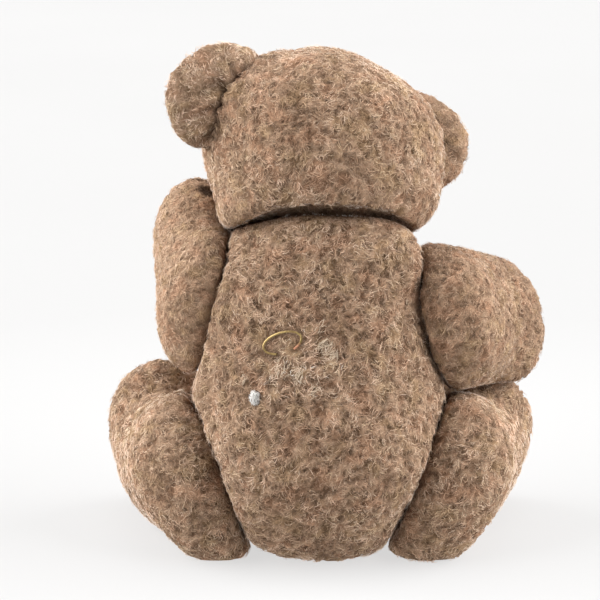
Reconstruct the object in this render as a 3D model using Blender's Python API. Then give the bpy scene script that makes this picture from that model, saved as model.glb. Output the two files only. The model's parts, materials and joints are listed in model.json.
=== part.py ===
"""A small jointed teddy bear of worn wool plush, sitting with its legs forward.

Frame: metres, +Z up. The bear faces -Y, so its left side is +X. The origin is on the
flat seat under the torso, on the surface that the bear sits on.

The head and the four limbs turn on disc joints. Each joint is a hardboard disc and a
washer on both sides of the cloth, held by a split pin whose ends are rolled over
inside the torso. Lengths are in millimetres until a piece is made, and metres after.
"""

import math

import bmesh
import bpy
from mathutils import Matrix, Vector

MM = 0.001
GAP = 0.3
SIDES = (("left", 1), ("right", -1))

# Torso: an upright egg with a slouch, which leans forward over the legs.
TORSO_LENGTH = 134
SEAT_DEPTH = 3
TORSO_SPINE = ((-2.5, 6, -SEAT_DEPTH), (0.5, 4, 31), (2, 1, 66), (0, 0, 100), (-2.5, 1, TORSO_LENGTH))
TORSO_HALF_WIDTHS = (33, 41, 42.5, 42.3, 40.5, 35, 28)
TORSO_HALF_DEPTHS = (33, 38, 38.4, 36, 33, 30.5, 30)
TORSO_LEAN = math.radians(10)

# Neck joint, which slopes forward under a hump of the back, and the head above it,
# turned and cocked.
NECK_POINT = Vector((-3, -20, 110))
NECK_SLOPE = math.radians(27)
HEAD_CENTRE = Vector((-2.5, -28.6, 139))
HEAD_TURN = math.radians(22)
HEAD_COCK = math.radians(-13)
HEAD_NOD = math.radians(4)

# Head pieces, measured from the head's own centre.
HEAD_HEIGHTS = (-43, -5, 34)
HEAD_HALF_WIDTHS = (30, 33.5, 38, 39.5, 36.5, 31)
HEAD_HALF_DEPTHS = (27.5, 32, 35.5, 36, 33.5, 28)
MUZZLE_CENTRE = Vector((0, -29, -8))
MUZZLE_RADII = Vector((15.5, 20, 13))
EAR_BASES = (Vector((39.5, 0, 8)), Vector((-31.5, 0, 8)))
EAR_RISES = (math.radians(4), math.radians(14))
EAR_LENGTH = 34
EAR_ROOT = 12
EAR_HALF_WIDTH = 18
EAR_HALF_THICKNESS = 5
EAR_CUP = 4
EYE_PLACE = Vector((14, -33.5, 7))
EYE_FACING = Vector((0.28, -0.95, 0.12))
EYE_RADIUS = 4
EYE_DOME = 3.2
EYE_BACK = 2
NOSE_RADII = Vector((7, 4, 5))
NOSE_RISE = math.radians(28)
THREAD_RADIUS = 0.45
THREAD_HEIGHT = 0.95

# Disc joints: the point where each meets the torso's flattened side and its outward
# direction, on the bear's left, before the torso leans.
SHOULDER_POINT = Vector((37, 1, 85))
SHOULDER_OUTWARD = Vector((0.97, 0.08, 0.2))
HIP_POINT = Vector((35, 1, 27))
HIP_OUTWARD = Vector((0.93, 0.12, -0.33))

# Arms and legs: where each points, a spine of (outward, along, upward) points from its
# joint, and the half-widths outward and half-depths upward along that spine.
ARM_DIRECTIONS = (Vector((0, -0.88, 0.47)), Vector((0, -0.79, -0.61)))
ARM_SPINES = (
    ((6, -18, -3), (6, 2, -2), (9, 20, -2), (11.5, 38, -1), (12, 53, 0)),
    ((8, -20, -2.5), (9.5, 0, -2.5), (16.5, 17, 0), (24, 32, 3), (29.5, 46, 5)),
)
ARM_HALF_WIDTHS = (13.5, 14.5, 14, 14, 13.5)
ARM_HALF_DEPTHS = (20, 22.5, 23, 22.5, 21)
LEG_DIRECTION = Vector((0, -1, 0))
LEG_SPINE = ((10.5, -23, 3), (12, -5, 1), (13, 15, 1), (12.5, 35, 5), (11, 54, 12))
LEG_HALF_WIDTHS = (15.5, 18.5, 20.3, 20.8, 21)
LEG_HALF_DEPTHS = (23, 26, 25.5, 27, 29.5)
THIGH_FLAT_RADIUS = 34

# Pads of dark cloth, and what each covers of its paw or sole.
PAD_THICKNESS = 0.8
PAW_PAD_OFFSET = Vector((-12, -9, 2))
PAW_PAD_RADII = Vector((9, 17, 12.5))
SOLE_PAD_RADII = Vector((16, 12, 24))

# Joint hardware.
CLOTH_THICKNESS = 2
DISC_THICKNESS = 2
WASHER_THICKNESS = 0.8
WASHER_RADIUS = 5
PIN_WIRE_RADIUS = 0.5
PIN_BORE_RADIUS = 1.5
PIN_EYE_RADIUS = 1.6
PIN_CURL_RADIUS = 1.4
NECK_DISC_RADIUS = 17
SHOULDER_DISC_RADIUS = 11
HIP_DISC_RADIUS = 12.5

# Trim on the back, placed by how far left of its middle and up from the seat it is.
WIRE_RADIUS = 0.4
WIRE_LOOP_PLACE = (11.5, 75.5)
WIRE_LOOP_RADII = (6.2, 3.6)
WIRE_LOOP_SLOPE = -0.22
TUFT_PLACE = (20.5, 57)
TUFT_RADII = Vector((1.4, 1.6, 2.1))

# How finely the forms are divided, and how full an oval section of stuffed cloth is.
FORM_SIDES = 26
TURNED_SIDES = 16
SECTION_FULLNESS = 0.94
CUTTER_SIZE = 300

PLUSH = ("wool_plush", (0.36, 0.25, 0.175), 0.95, 0.0)
PAD_CLOTH = ("pad_cloth", (0.045, 0.028, 0.02), 0.7, 0.0)
BUTTON = ("boot_button", (0.012, 0.01, 0.01), 0.25, 0.0)
DARK_THREAD = ("dark_thread", (0.03, 0.02, 0.017), 0.8, 0.0)
WHITE_THREAD = ("white_thread", (0.75, 0.73, 0.68), 0.9, 0.0)
HARDBOARD = ("hardboard", (0.3, 0.19, 0.1), 0.85, 0.0)
STEEL = ("steel", (0.55, 0.54, 0.52), 0.4, 1.0)
BRASS = ("brass", (0.62, 0.45, 0.18), 0.35, 1.0)


# ---------------------------------------------------------------- scene and objects


def clear_scene():
    for obj in list(bpy.data.objects):
        bpy.data.objects.remove(obj)


def material(finish):
    name, colour, roughness, metallic = finish
    made = bpy.data.materials.get(name) or bpy.data.materials.new(name)
    made.use_nodes = True
    made.diffuse_color = (*colour, 1)
    shader = made.node_tree.nodes["Principled BSDF"]
    shader.inputs["Base Color"].default_value = (*colour, 1)
    shader.inputs["Roughness"].default_value = roughness
    shader.inputs["Metallic"].default_value = metallic
    return made


def pivot(name, point):
    """An empty at a joint's point, which carries every piece that turns there."""
    empty = bpy.data.objects.new(name, None)
    empty.location = point * MM
    bpy.context.scene.collection.objects.link(empty)
    return empty


def outward_mesh(name, bm):
    """A mesh made from bm, which it frees, with every face turned outward."""
    bmesh.ops.recalc_face_normals(bm, faces=bm.faces)
    if bm.calc_volume(signed=True) < 0:
        bmesh.ops.reverse_faces(bm, faces=bm.faces)
    mesh = bpy.data.meshes.new(name)
    bm.to_mesh(mesh)
    bm.free()
    return mesh


def piece(name, bm, finish, parent=None, smooth_angle=60):
    """A named solid from bm, which holds millimetres in the bear's frame."""
    origin = parent.location if parent else Vector()
    bm.transform(Matrix.Translation(-origin) @ Matrix.Scale(MM, 4))
    mesh = outward_mesh(name, bm)
    mesh.materials.append(material(finish))
    mesh.shade_smooth()
    mesh.set_sharp_from_angle(angle=math.radians(smooth_angle))
    obj = bpy.data.objects.new(name, mesh)
    obj.parent = parent
    bpy.context.scene.collection.objects.link(obj)
    return obj


def shape(obj, name, bm, operation="DIFFERENCE"):
    """Cuts obj with bm, or joins them, where bm holds millimetres in the bear's frame."""
    bm.transform(Matrix.Scale(MM, 4))
    cutter = bpy.data.objects.new(name, outward_mesh(name, bm))
    cutter.hide_render = True
    cutter.display_type = "WIRE"
    bpy.context.scene.collection.objects.link(cutter)
    modifier = obj.modifiers.new(name, "BOOLEAN")
    modifier.operation = operation
    modifier.object = cutter
    modifier.solver = "EXACT"


# ---------------------------------------------------------------- basic forms


def round_turns(sides):
    return [2 * math.pi * k / sides for k in range(sides)]


def full(value):
    """A sine or cosine, raised so that a round section becomes a slightly fuller one."""
    return math.copysign(abs(value) ** SECTION_FULLNESS, value)


def spline(values, t):
    """The value at t, from 0 to 1, on a smooth curve through evenly spaced values."""
    spans = len(values) - 1
    i = min(int(t * spans), spans - 1)
    f = t * spans - i
    a, b = values[i], values[i + 1]
    slope_a = (b - values[i - 1]) * 0.5 if i > 0 else b - a
    slope_b = (values[i + 2] - a) * 0.5 if i + 2 <= spans else b - a
    blend = 3 * f**2 - 2 * f**3
    return a * (1 - blend) + b * blend + slope_a * (f**3 - 2 * f**2 + f) + slope_b * (f**3 - f**2)


def ring_places(length, caps, rings):
    """(place from 0 to 1, share of the full radius) for each ring of a round-ended form."""
    start, end = caps
    cap_rings, body_rings = rings
    quarter = [math.pi / 2 * k / cap_rings for k in range(1, cap_rings + 1)]
    body = length - start - end
    places = [(start * (1 - math.cos(a)), math.sin(a)) for a in quarter]
    places += [(start + body * k / body_rings, 1.0) for k in range(1, body_rings)]
    places += [(length - end * (1 - math.cos(a)), math.sin(a)) for a in reversed(quarter)]
    return [(place / length, share) for place, share in places]


def skin(bm, loops, ends):
    """Joins rings of vertices with quads and closes both ends with a point."""
    for lower, upper in zip(loops, loops[1:]):
        for k in range(len(lower)):
            n = (k + 1) % len(lower)
            bm.faces.new((lower[k], lower[n], upper[n], upper[k]))
    for loop, end in zip((loops[0], loops[-1]), ends):
        tip = bm.verts.new(end)
        for k in range(len(loop)):
            bm.faces.new((loop[k], loop[(k + 1) % len(loop)], tip))


def grow_surface(bm, distance):
    bmesh.ops.recalc_face_normals(bm, faces=bm.faces)
    bm.normal_update()
    moves = [(vert, vert.normal * distance) for vert in bm.verts]
    for vert, move in moves:
        vert.co += move


def stuffed_form(spine, half_widths, half_depths, caps, rings, grow=0):
    """A bmesh of a stuffed cloth form: oval rings, wide along X, along a spine near YZ.

    caps are the lengths of the two round ends, rings the number of rings in each end
    and between them, and grow moves the whole surface outward.
    """
    points = [Vector(point) for point in spine]
    length = sum((b - a).length for a, b in zip(points, points[1:]))
    bm = bmesh.new()
    loops = []
    for t, share in ring_places(length, caps, rings):
        centre = spline(points, t)
        tangent = spline(points, min(t + 0.02, 1)) - spline(points, max(t - 0.02, 0))
        depth = Vector((1, 0, 0)).cross(tangent).normalized() * spline(half_depths, t) * share
        width = tangent.cross(depth).normalized() * spline(half_widths, t) * share
        turns = [(full(math.cos(a)), full(math.sin(a))) for a in round_turns(FORM_SIDES)]
        loops.append([bm.verts.new(centre + width * u + depth * v) for u, v in turns])
    skin(bm, loops, (points[0], points[-1]))
    grow_surface(bm, grow)
    return bm


def turned(profile, matrix):
    """A bmesh of a closed profile of (radius, place along X) points turned about X."""
    bm = bmesh.new()
    loops = []
    for a in round_turns(TURNED_SIDES):
        loops.append([bm.verts.new((x, r * math.cos(a), r * math.sin(a))) for r, x in profile])
    for loop, following in zip(loops, loops[1:] + loops[:1]):
        for i in range(len(profile)):
            n = (i + 1) % len(profile)
            bm.faces.new((loop[i], loop[n], following[n], following[i]))
    bmesh.ops.remove_doubles(bm, verts=bm.verts, dist=0.0001)
    bm.transform(matrix)
    return bm


def tube(route, radius, sides=6):
    """A bmesh of a round wire or thread along a route of points."""
    bm = bmesh.new()
    loops = []
    across = (route[1] - route[0]).orthogonal()
    for before, point, after in zip(route[:1] + route, route, route[1:] + route[-1:]):
        tangent = (after - before).normalized()
        across = (across - tangent * across.dot(tangent)).normalized()
        other = tangent.cross(across)
        ring = [point + (across * math.cos(a) + other * math.sin(a)) * radius for a in round_turns(sides)]
        loops.append([bm.verts.new(place) for place in ring])
    skin(bm, loops, (route[0], route[-1]))
    return bm


def ellipsoid(centre, radii, matrix, subdivisions=3):
    bm = bmesh.new()
    bmesh.ops.create_icosphere(bm, subdivisions=subdivisions, radius=1)
    bm.transform(matrix @ Matrix.Translation(centre) @ Matrix.Diagonal((*radii, 1)))
    return bm


def half_space(matrix, direction=1, gap=0):
    """A bmesh block that fills one side, +X or -X, of the matrix's YZ plane."""
    bm = bmesh.new()
    bmesh.ops.create_cube(bm, size=CUTTER_SIZE)
    bm.transform(matrix @ Matrix.Translation((direction * CUTTER_SIZE / 2 + gap, 0, 0)))
    return bm


# ---------------------------------------------------------------- frames


def axes(origin, outward, along, side=1):
    """A matrix with X outward, Y along and Z upward, placed at origin.

    Upward stays up on both sides of the bear, so the right side's matrix is mirrored.
    """
    x = outward.normalized()
    y = (along - x * along.dot(x)).normalized()
    z = y.cross(x) * side
    matrix = Matrix((x, y, z)).transposed().to_4x4()
    matrix.translation = origin
    return matrix


def on_side(vector, side):
    return Vector((vector.x * side, vector.y, vector.z))


LEAN = Matrix.Rotation(TORSO_LEAN, 4, "X")
FLOOR = axes(Vector(), Vector((0, 0, -1)), Vector((0, 1, 0)))
NECK = axes(NECK_POINT, Vector((0, -math.sin(NECK_SLOPE), math.cos(NECK_SLOPE))), Vector((0, -1, 0)))
HEAD = (
    Matrix.Translation(HEAD_CENTRE)
    @ Matrix.Rotation(TORSO_LEAN, 4, "X")
    @ Matrix.Rotation(HEAD_TURN, 4, "Z")
    @ Matrix.Rotation(HEAD_COCK, 4, "Y")
    @ Matrix.Rotation(HEAD_NOD, 4, "X")
)


def limb_axes(point, outward, direction, side):
    """The frame of a limb's joint: X outward along its axis, Y along the limb."""
    leaning_outward = LEAN.to_3x3() @ on_side(outward, side)
    return axes(LEAN @ on_side(point, side), leaning_outward, direction, side)


# ---------------------------------------------------------------- joint hardware


def chamber(matrix, disc_radius, depth):
    """The hollow around one side's hardware, open to the joint through the pin's bore."""
    disc_end = CLOTH_THICKNESS + DISC_THICKNESS + 2 * GAP
    profile = [
        (0, -CLOTH_THICKNESS),
        (PIN_BORE_RADIUS, -CLOTH_THICKNESS),
        (PIN_BORE_RADIUS, CLOTH_THICKNESS),
        (disc_radius + GAP, CLOTH_THICKNESS),
        (disc_radius + GAP, disc_end),
        (WASHER_RADIUS + GAP, disc_end),
        (WASHER_RADIUS + GAP, depth),
        (0, depth),
    ]
    return turned(profile, matrix)


def ring_plate(matrix, radius, start, thickness):
    """A flat disc or washer with the pin's bore through it."""
    end = start + thickness
    corners = [(PIN_BORE_RADIUS, start), (radius, start), (radius, end), (PIN_BORE_RADIUS, end)]
    return turned(corners, matrix)


def pin_route(reach):
    """A split pin's wire: a rolled end, one leg, the eye, the other leg and its end."""
    leg_offset = PIN_WIRE_RADIUS + 0.1
    curl = []
    for degrees in range(150, -1, -30):
        a = math.radians(degrees)
        along = -reach - PIN_CURL_RADIUS * math.sin(a)
        curl.append((along, leg_offset + PIN_CURL_RADIUS * (1 - math.cos(a))))
    leg = curl + [(0, leg_offset), (reach, leg_offset)]
    half_opening = math.asin(leg_offset / PIN_EYE_RADIUS)
    eye_centre = reach + PIN_EYE_RADIUS * math.cos(half_opening)
    eye = []
    for k in range(1, 8):
        a = (math.pi - half_opening) * (1 - k / 4)
        eye.append((eye_centre + PIN_EYE_RADIUS * math.cos(a), PIN_EYE_RADIUS * math.sin(a)))
    other_leg = [(along, -across) for along, across in reversed(leg)]
    return [Vector((along, 0, across)) for along, across in leg + eye + other_leg]


def disc_joint(name, matrix, disc_radius, torso, limb, limb_pivot):
    """Discs, washers and a split pin on both sides of one joint, and room for them."""
    disc_start = CLOTH_THICKNESS + GAP
    washer_start = disc_start + DISC_THICKNESS + GAP
    pin_reach = washer_start + WASHER_THICKNESS + GAP + PIN_WIRE_RADIUS
    depth = pin_reach + 2 * PIN_EYE_RADIUS + PIN_WIRE_RADIUS + 2 * GAP
    inward = matrix @ Matrix.Rotation(math.pi, 4, "Z")
    outward = matrix @ Matrix.Translation((GAP, 0, 0))
    for owner, solid, place, parent in (("torso", torso, inward, None), ("limb", limb, outward, limb_pivot)):
        shape(solid, f"{name}_{owner}_chamber", chamber(place, disc_radius, depth))
        disc = ring_plate(place, disc_radius, disc_start, DISC_THICKNESS)
        piece(f"{name}_{owner}_disc", disc, HARDBOARD, parent, 30)
        washer = ring_plate(place, WASHER_RADIUS, washer_start, WASHER_THICKNESS)
        piece(f"{name}_{owner}_washer", washer, STEEL, parent, 30)
    pin = tube(pin_route(pin_reach), PIN_WIRE_RADIUS)
    pin.transform(matrix)
    piece(name + "_split_pin", pin, STEEL, limb_pivot)


# ---------------------------------------------------------------- head


def head_form(grow=0):
    spine = [(0, 0, height) for height in HEAD_HEIGHTS]
    bm = stuffed_form(spine, HEAD_HALF_WIDTHS, HEAD_HALF_DEPTHS, (13, 28), (6, 4), grow)
    bm.transform(HEAD)
    return bm


def muzzle_form(grow=0):
    return ellipsoid(MUZZLE_CENTRE, MUZZLE_RADII + Vector((grow, grow, grow)), HEAD)


def on_muzzle(across, up, height):
    """The point a height off the muzzle's surface, turned by two angles from its tip."""
    level = Vector((math.sin(across), -math.cos(across), 0))
    direction = level * math.cos(up) + Vector((0, 0, math.sin(up)))
    return MUZZLE_CENTRE + Vector([(radius + height) * d for radius, d in zip(MUZZLE_RADII, direction)])


def ear_form(side, base, rise):
    """A cupped half-round ear that stands outward and up from the side of the head."""
    middle = EAR_LENGTH / 2 - EAR_ROOT
    spine = [(0, 0, -EAR_ROOT), (0, 0, middle), (0, -2, EAR_LENGTH - EAR_ROOT)]
    widths = (EAR_HALF_WIDTH, EAR_HALF_WIDTH + 0.5, EAR_HALF_WIDTH - 1)
    thicknesses = (EAR_HALF_THICKNESS + 1, EAR_HALF_THICKNESS, EAR_HALF_THICKNESS - 1)
    bm = stuffed_form(spine, widths, thicknesses, (4, 18), (6, 2))
    for vert in bm.verts:
        vert.co.y -= EAR_CUP * (vert.co.x / EAR_HALF_WIDTH) ** 2
    outward = Matrix.Rotation(side * (math.pi / 2 - rise), 4, "Y")
    bm.transform(HEAD @ Matrix.Translation(base) @ outward)
    return bm


def eye_form(side, grow=0):
    """A domed button pressed into the plush, facing forward and a little outward."""
    dome = []
    for degrees in (0, 20, 40, 60, 75):
        a = math.radians(degrees)
        dome.append(((EYE_RADIUS + grow) * math.cos(a), (EYE_DOME + grow) * math.sin(a)))
    back = -EYE_BACK - grow
    profile = [(0, back), (EYE_RADIUS * 0.8 + grow, back)] + dome + [(0, EYE_DOME + grow)]
    place = axes(on_side(EYE_PLACE, side), on_side(EYE_FACING, side), Vector((0, 0, 1)))
    return turned(profile, HEAD @ place)


def stitch(angles):
    """A long stitch over the muzzle, through points given as degrees from its tip."""
    route = [HEAD @ on_muzzle(math.radians(a), math.radians(b), THREAD_HEIGHT) for a, b in angles]
    return tube(route, THREAD_RADIUS, 5)


def build_head(parent):
    head = piece("head", head_form(), PLUSH, parent)
    shape(head, "muzzle_join", muzzle_form(), "UNION")
    shape(head, "head_flat", half_space(NECK, -1, GAP))
    for (name, side), base, rise in zip(SIDES, EAR_BASES, EAR_RISES):
        ear = piece("ear_" + name, ear_form(side, base, rise), PLUSH, parent)
        shape(ear, "ear_root_" + name, head_form(GAP))
        piece("eye_" + name, eye_form(side), BUTTON, parent, 40)
        shape(head, "eye_socket_" + name, eye_form(side, GAP))
    nose = piece("nose", ellipsoid(on_muzzle(0, NOSE_RISE, 0), NOSE_RADII, HEAD, 2), DARK_THREAD, parent)
    shape(nose, "nose_seat", muzzle_form(GAP))
    piece("mouth_stitch_upper", stitch([(0, b) for b in range(4, -21, -6)]), DARK_THREAD, parent)
    curve = [(a, -27 - 0.35 * abs(a)) for a in range(-32, 33, 8)]
    piece("mouth_stitch_lower", stitch(curve), DARK_THREAD, parent)
    return head


# ---------------------------------------------------------------- limbs


def arm_form(spine, shoulder, grow=0):
    bm = stuffed_form(spine, ARM_HALF_WIDTHS, ARM_HALF_DEPTHS, (16, 14), (5, 5), grow)
    bm.transform(shoulder)
    return bm


def leg_form(hip, grow=0):
    bm = stuffed_form(LEG_SPINE, LEG_HALF_WIDTHS, LEG_HALF_DEPTHS, (22, 9), (5, 6), grow)
    bm.transform(hip)
    return bm


def pressed_flat(hip):
    """A cutter that flattens the thigh on the torso and lets the foot swell past it."""
    depth = 40
    profile = [
        (0, GAP),
        (THIGH_FLAT_RADIUS, GAP),
        (THIGH_FLAT_RADIUS + depth, GAP - depth),
        (0, GAP - depth),
    ]
    return turned(profile, hip)


def build_pad(name, outer, inner, outline, parent):
    """A cloth pad on the end of a limb: a thin shell over it, within an oval outline."""
    pad = piece(name, outer, PAD_CLOTH, parent)
    shape(pad, name + "_inside", inner)
    shape(pad, name + "_outline", outline, "INTERSECT")


def build_arm(name, shoulder, spine, parent):
    arm = piece("arm_" + name, arm_form(spine, shoulder), PLUSH, parent)
    shape(arm, "arm_flat_" + name, half_space(shoulder, -1, GAP))
    outer = arm_form(spine, shoulder, GAP + PAD_THICKNESS)
    outline = ellipsoid(Vector(spine[-1]) + PAW_PAD_OFFSET, PAW_PAD_RADII, shoulder)
    build_pad("paw_pad_" + name, outer, arm_form(spine, shoulder, GAP), outline, parent)
    return arm


def build_leg(name, hip, parent):
    leg = piece("leg_" + name, leg_form(hip), PLUSH, parent)
    shape(leg, "leg_flat_" + name, pressed_flat(hip))
    shape(leg, "leg_floor_" + name, half_space(FLOOR))
    outline = ellipsoid(Vector(LEG_SPINE[-1]), SOLE_PAD_RADII, hip)
    build_pad("sole_pad_" + name, leg_form(hip, GAP + PAD_THICKNESS), leg_form(hip, GAP), outline, parent)
    return leg


# ---------------------------------------------------------------- torso and its trim


def torso_form(grow=0):
    bm = stuffed_form(TORSO_SPINE, TORSO_HALF_WIDTHS, TORSO_HALF_DEPTHS, (44, 36), (6, 5), grow)
    bm.transform(LEAN)
    return bm


def on_back(left, up, height):
    """The point a height off the torso's back, left of its middle and up from the seat."""
    t = (up + SEAT_DEPTH) / (TORSO_LENGTH + SEAT_DEPTH)
    half_width = spline(TORSO_HALF_WIDTHS, t)
    half_depth = spline(TORSO_HALF_DEPTHS, t)
    turn = math.acos((left / half_width) ** (1 / SECTION_FULLNESS))
    surface = Vector((left, half_depth * full(math.sin(turn)), 0))
    outward = Vector((surface.x / half_width**2, surface.y / half_depth**2, 0)).normalized()
    centre = spline([Vector(point) for point in TORSO_SPINE], t)
    return LEAN @ (centre + surface + outward * height)


def wire_loop_route():
    """An open oval of wire that stands on the back, with both ends pushed into the cloth."""
    left, up = WIRE_LOOP_PLACE
    last = 16
    route = []
    for k in range(-2, last + 3):
        a = math.radians(-70 + 300 * min(max(k, 0), last) / last)
        steps_into_cloth = max(-k, k - last, 0)
        across = WIRE_LOOP_RADII[0] * math.cos(a)
        rise = WIRE_LOOP_RADII[1] * math.sin(a) + across * WIRE_LOOP_SLOPE
        height = WIRE_RADIUS + 3 * GAP - 2.5 * steps_into_cloth
        route.append(on_back(left + across, up + rise, height))
    return route


def build_trim(torso):
    piece("wire_loop", tube(wire_loop_route(), WIRE_RADIUS), BRASS)
    shape(torso, "wire_holes", tube(wire_loop_route(), WIRE_RADIUS + GAP))
    knot = Matrix.Translation(on_back(*TUFT_PLACE, 0.5))
    tuft = piece("white_thread_tuft", ellipsoid(Vector(), TUFT_RADII, knot, 2), WHITE_THREAD)
    shape(tuft, "tuft_seat", torso_form(GAP))


# ---------------------------------------------------------------- the bear


def build():
    clear_scene()
    torso = piece("torso", torso_form(), PLUSH)
    neck_pivot = pivot("neck_pivot", NECK.translation)
    head = build_head(neck_pivot)
    shape(torso, "neck_flat", half_space(NECK))
    disc_joint("neck", NECK, NECK_DISC_RADIUS, torso, head, neck_pivot)
    for (name, side), direction, spine in zip(SIDES, ARM_DIRECTIONS, ARM_SPINES):
        shoulder = limb_axes(SHOULDER_POINT, SHOULDER_OUTWARD, direction, side)
        shoulder_pivot = pivot("shoulder_pivot_" + name, shoulder.translation)
        arm = build_arm(name, shoulder, spine, shoulder_pivot)
        shape(torso, "shoulder_flat_" + name, half_space(shoulder))
        disc_joint("shoulder_" + name, shoulder, SHOULDER_DISC_RADIUS, torso, arm, shoulder_pivot)
        hip = limb_axes(HIP_POINT, HIP_OUTWARD, LEG_DIRECTION, side)
        hip_pivot = pivot("hip_pivot_" + name, hip.translation)
        leg = build_leg(name, hip, hip_pivot)
        shape(leg, "arm_dent_" + name, arm_form(spine, shoulder, GAP))
        shape(torso, "hip_flat_" + name, half_space(hip))
        disc_joint("hip_" + name, hip, HIP_DISC_RADIUS, torso, leg, hip_pivot)
    shape(torso, "seat", half_space(FLOOR))
    build_trim(torso)


build()
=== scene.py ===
"""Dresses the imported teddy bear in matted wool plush, cracked pads, thread and light.

The frame's solids stay where they are. Each stuffed piece is covered by a finer skin made
from its own solid, and by two layers of curled strands of wool that grow from that skin.
"""

import math

import bmesh
import bpy
import numpy as np
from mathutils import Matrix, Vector, noise
from mathutils.bvhtree import BVHTree
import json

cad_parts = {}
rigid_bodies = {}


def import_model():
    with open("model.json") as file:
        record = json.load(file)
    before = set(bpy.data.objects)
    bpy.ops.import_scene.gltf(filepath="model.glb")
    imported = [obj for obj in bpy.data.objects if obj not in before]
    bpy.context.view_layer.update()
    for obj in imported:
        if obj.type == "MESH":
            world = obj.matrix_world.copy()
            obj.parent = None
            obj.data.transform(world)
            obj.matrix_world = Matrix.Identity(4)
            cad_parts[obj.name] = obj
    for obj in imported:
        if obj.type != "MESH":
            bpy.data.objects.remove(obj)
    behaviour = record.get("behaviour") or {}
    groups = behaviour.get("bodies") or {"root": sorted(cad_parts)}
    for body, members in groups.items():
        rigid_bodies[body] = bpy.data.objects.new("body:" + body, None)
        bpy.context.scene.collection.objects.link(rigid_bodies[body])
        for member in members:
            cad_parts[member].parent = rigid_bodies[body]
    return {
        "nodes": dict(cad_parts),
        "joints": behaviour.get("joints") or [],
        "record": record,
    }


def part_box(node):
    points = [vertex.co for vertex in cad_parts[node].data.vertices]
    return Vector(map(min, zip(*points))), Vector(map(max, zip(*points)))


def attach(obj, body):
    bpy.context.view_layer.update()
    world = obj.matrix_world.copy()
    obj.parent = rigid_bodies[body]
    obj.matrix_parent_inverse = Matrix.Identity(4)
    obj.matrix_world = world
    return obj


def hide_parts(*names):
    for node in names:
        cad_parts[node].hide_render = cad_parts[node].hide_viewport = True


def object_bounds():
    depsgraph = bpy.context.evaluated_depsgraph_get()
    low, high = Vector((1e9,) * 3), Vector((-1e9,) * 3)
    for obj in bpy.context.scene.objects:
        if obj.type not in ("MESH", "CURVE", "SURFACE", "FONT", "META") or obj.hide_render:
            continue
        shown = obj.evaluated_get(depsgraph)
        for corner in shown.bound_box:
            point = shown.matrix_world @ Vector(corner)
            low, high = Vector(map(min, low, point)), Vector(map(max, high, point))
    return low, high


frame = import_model()
for startup_object in [obj for obj in bpy.data.objects if obj.name in ("Cube", "Light", "Camera")]:
    bpy.data.objects.remove(startup_object)
cad_low, cad_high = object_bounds()

MM = 0.001
SEED = 20


def table(columns, rows):
    """The rows by name, each with its values by column."""
    return {name: dict(zip(columns, values)) for name, values in rows.items()}


# How far apart in space the fields of noise with different seeds are read, and how many seeds
# on the second and third part of a field of vectors are.
SEED_SPACING = 7.31
PART_SEEDS = 20

# The plush skin: how finely it is divided, how it is softened, how near points are made one,
# and where a joint's bore is closed.
SKIN_VOXEL = 1.25 * MM
SKIN_SMOOTHING = 4
SKIN_SOFTENING = 0.6
WELD_REACH = 0.001 * MM
BORE_REACH = 1.6 * MM
BORE_DEPTH = 2.1 * MM

# Its woolly relief, from pits to tufts: the sizes and shares of what makes it up, its least
# and greatest height, and the share of that on the ears' thinner cloth.
CLUMP_SIZE = 5.5 * MM
CURL_SIZE = 2.3 * MM
PIT_SIZE = 3.0 * MM
CRUMB_SIZE = 1.5 * MM
WOOLLY_SHARES = {"clumps": 0.4, "curls": 0.6, "crumbs": 0.5, "pits": 0.9}
PILE_LIFT = 0.35 * MM
RELIEF_HEIGHT = 1.9 * MM
EAR_RELIEF = 0.5

# The share of the way to another piece, and to trim less a gap, that the relief may take up.
RELIEF_ROOM = 0.3
RELIEF_TRIM_ROOM = 0.5
RELIEF_TRIM_GAP = 0.5 * MM

# How the cloth is drawn in to a crease where another piece presses on it, and the least light
# that is left in a crease.
CREASE_REACH = 6 * MM
CREASE_DEPTH = {"head": 12 * MM, "torso": 1.5 * MM, "ear": 1.0 * MM, "limb": 0.4 * MM}
CREASE_SHARPNESS = 1.5
CREASE_LIGHT = 0.8

# The neck's crease: it reaches further than the others, out to this many radii of the neck's
# disc, and is deep only at the nape, the more so the higher the power.
NECK_REACH = 15 * MM
NECK_SPREAD = 4
NECK_FRONT_SHARE = 0.2
NAPE_POWER = 5

# An ear's crease with the head is painted dark with shade only within this share of the ear's half
# height, and lightens over the next share.
EAR_CREASE_LIGHT = 0.9
EAR_CREASE_HALF = 0.4
EAR_CREASE_FADE = 0.3

# How near a piece's own trim, such as its pads, eyes and threads, makes a difference, the
# light that is left right beside it, and how far that shade reaches.
TRIM_REACH = 4 * MM
TRIM_LIGHT = 0.45
TRIM_SHADE_REACH = 1.8 * MM

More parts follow.
